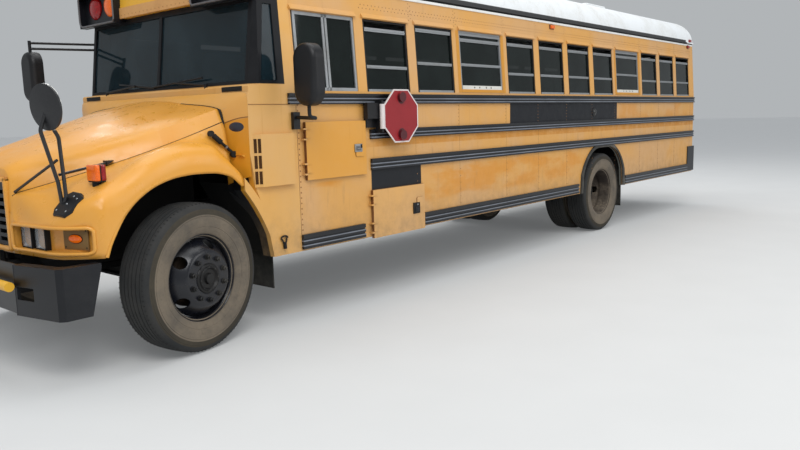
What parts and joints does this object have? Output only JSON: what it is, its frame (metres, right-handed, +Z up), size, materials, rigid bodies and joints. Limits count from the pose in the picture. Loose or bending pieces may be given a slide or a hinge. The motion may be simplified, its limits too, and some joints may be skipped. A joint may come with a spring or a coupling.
{
  "type": "long-nosed school bus with twin rear wheels",
  "caption": "Long-nosed school bus with a tilting hood, hinged doors, a folding stop arm and crossing arm, steered front wheels and twin rear wheels.",
  "frame": {"origin": "on the ground under the middle of the bounding box", "axes": "-Y towards the front of the bus, +X towards the driver's side, +Z up"},
  "size_m": [3.2, 10.9849, 3.2138],
  "materials": {
    "coach_yellow": "faded satin enamel",
    "hood_yellow": "faded satin enamel on moulded panels",
    "roof_white": "weathered enamel",
    "black_paint": "satin",
    "chassis_black": "dusty",
    "rim_black": "dusty",
    "tyre_rubber": "dusty",
    "window_aluminium": "dull mill finish",
    "clear_glass": "clear with a slight tint",
    "black_plastic": "moulded",
    "rubber": "plain",
    "red_lens": "moulded lens",
    "amber_lens": "moulded lens",
    "lamp_glass": "fluted lens",
    "sign_yellow": "blank reflective sheet",
    "sign_red": "blank reflective sheet",
    "seat_vinyl": "brown coated fabric",
    "steel_dark": "oily",
    "bare_steel": "dull"
  },
  "bodies": {
    "coach": {"amber_lamps": "amber_lens", "arch_flares": "coach_yellow", "arm_boxes": "black_plastic", "battery_box": "chassis_black", "body_floor": "chassis_black", "chassis_frame": "chassis_black", "dashboard": "black_plastic", "door_hinges": "bare_steel", "engine": "steel_dark", "entry_steps": "chassis_black", "exhaust": "steel_dark", "front_axle": "chassis_black", "front_bumper": "black_paint", "front_cap": "coach_yellow", "fuel_tank": "chassis_black", "header_sign": "sign_yellow", "lamp_housings": "black_paint", "left_wall": "coach_yellow", "mud_flaps": "rubber", "radiator": "chassis_black", "rear_axle": "steel_dark", "rear_bumper": "black_paint", "rear_wall": "coach_yellow", "red_lamps": "red_lens", "right_wall": "coach_yellow", "roof_hatches": "roof_white", "roof_shell": "roof_white", "rub_rails": "black_paint", "seats": "seat_vinyl", "side_mirrors": "black_plastic", "window_frames": "window_aluminium", "window_glass": "clear_glass", "windshield": "clear_glass", "wipers": "black_plastic"},
    "hood": {"hood_shell": "hood_yellow", "grille": "black_plastic", "headlamps": "lamp_glass", "fender_lamps": "amber_lens", "cross_mirrors": "black_plastic"},
    "stop_arm": {"stop_sign": "sign_red"},
    "crossing_arm": {"crossing_arm": "sign_yellow"},
    "entry_front_leaf": {"door_front_leaf": "black_paint", "door_front_glass": "clear_glass"},
    "entry_rear_leaf": {"door_rear_leaf": "black_paint", "door_rear_glass": "clear_glass"},
    "rear_exit_door": {"rear_door": "coach_yellow", "rear_door_glass": "clear_glass"},
    "battery_door": {"battery_door": "coach_yellow"},
    "access_door": {"access_door": "coach_yellow"},
    "left_knuckle": {"knuckle_left": "steel_dark"},
    "right_knuckle": {"knuckle_right": "steel_dark"},
    "front_left_wheel": {"front_left_tyre": "tyre_rubber", "front_left_rim": "rim_black"},
    "front_right_wheel": {"front_right_tyre": "tyre_rubber", "front_right_rim": "rim_black"},
    "rear_left_wheels": {"rear_left_tyres": "tyre_rubber", "rear_left_rims": "rim_black"},
    "rear_right_wheels": {"rear_right_tyres": "tyre_rubber", "rear_right_rims": "rim_black"}
  },
  "joints": [
    {"name": "steer_left", "type": "hinge", "parent": "coach", "child": "left_knuckle", "pos_m": [0.89, -4.407, 0.52], "axis": [0, 0, 1], "range_deg": [-47.2, 28.8]},
    {"name": "steer_right", "type": "hinge", "parent": "coach", "child": "right_knuckle", "pos_m": [-0.89, -4.407, 0.52], "axis": [0, 0, 1], "range_deg": [-47.2, 28.8]},
    {"name": "front_left_spin", "type": "hinge", "parent": "left_knuckle", "child": "front_left_wheel", "pos_m": [1.11309, -4.37087, 0.52], "axis": [0.9871, 0.1599, 0], "continuous": true},
    {"name": "front_right_spin", "type": "hinge", "parent": "right_knuckle", "child": "front_right_wheel", "pos_m": [-1.11309, -4.44313, 0.52], "axis": [0.9871, 0.1599, 0], "continuous": true},
    {"name": "rear_left_spin", "type": "hinge", "parent": "coach", "child": "rear_left_wheels", "pos_m": [0.896, 1.994, 0.52], "axis": [1, 0, 0], "continuous": true},
    {"name": "rear_right_spin", "type": "hinge", "parent": "coach", "child": "rear_right_wheels", "pos_m": [-0.896, 1.994, 0.52], "axis": [1, 0, 0], "continuous": true},
    {"name": "hood_tilt", "type": "hinge", "parent": "coach", "child": "hood", "pos_m": [0, -5.238, 0.768], "axis": [1, 0, 0], "range_deg": [0, 70]},
    {"name": "entry_front_swing", "type": "hinge", "parent": "coach", "child": "entry_front_leaf", "pos_m": [-1.231, -3.395, 1.3], "axis": [0, 0, 1], "range_deg": [0, 90]},
    {"name": "entry_rear_swing", "type": "hinge", "parent": "coach", "child": "entry_rear_leaf", "pos_m": [-1.231, -2.712, 1.3], "axis": [0, 0, -1], "range_deg": [0, 90]},
    {"name": "rear_door_swing", "type": "hinge", "parent": "coach", "child": "rear_exit_door", "pos_m": [-0.474, 5.398, 1.8], "axis": [0, 0, 1], "range_deg": [0, 110]},
    {"name": "battery_door_swing", "type": "hinge", "parent": "coach", "child": "battery_door", "pos_m": [1.253, -2.616, 0.75], "axis": [0, 0, -1], "range_deg": [0, 110]},
    {"name": "access_door_swing", "type": "hinge", "parent": "coach", "child": "access_door", "pos_m": [1.253, -3.362, 1.35], "axis": [0, 0, -1], "range_deg": [0, 100]},
    {"name": "stop_arm_swing", "type": "hinge", "parent": "coach", "child": "stop_arm", "pos_m": [1.314, -2.545, 1.592], "axis": [0, 0, -1], "range_deg": [0, 90]},
    {"name": "crossing_arm_swing", "type": "hinge", "parent": "coach", "child": "crossing_arm", "pos_m": [-0.775, -5.461, 0.618], "axis": [0, 0, -1], "range_deg": [0, 90]}
  ],
  "couplings": [
    {"joint": "steer_right", "follows": "steer_left", "ratio": 1}
  ]
}
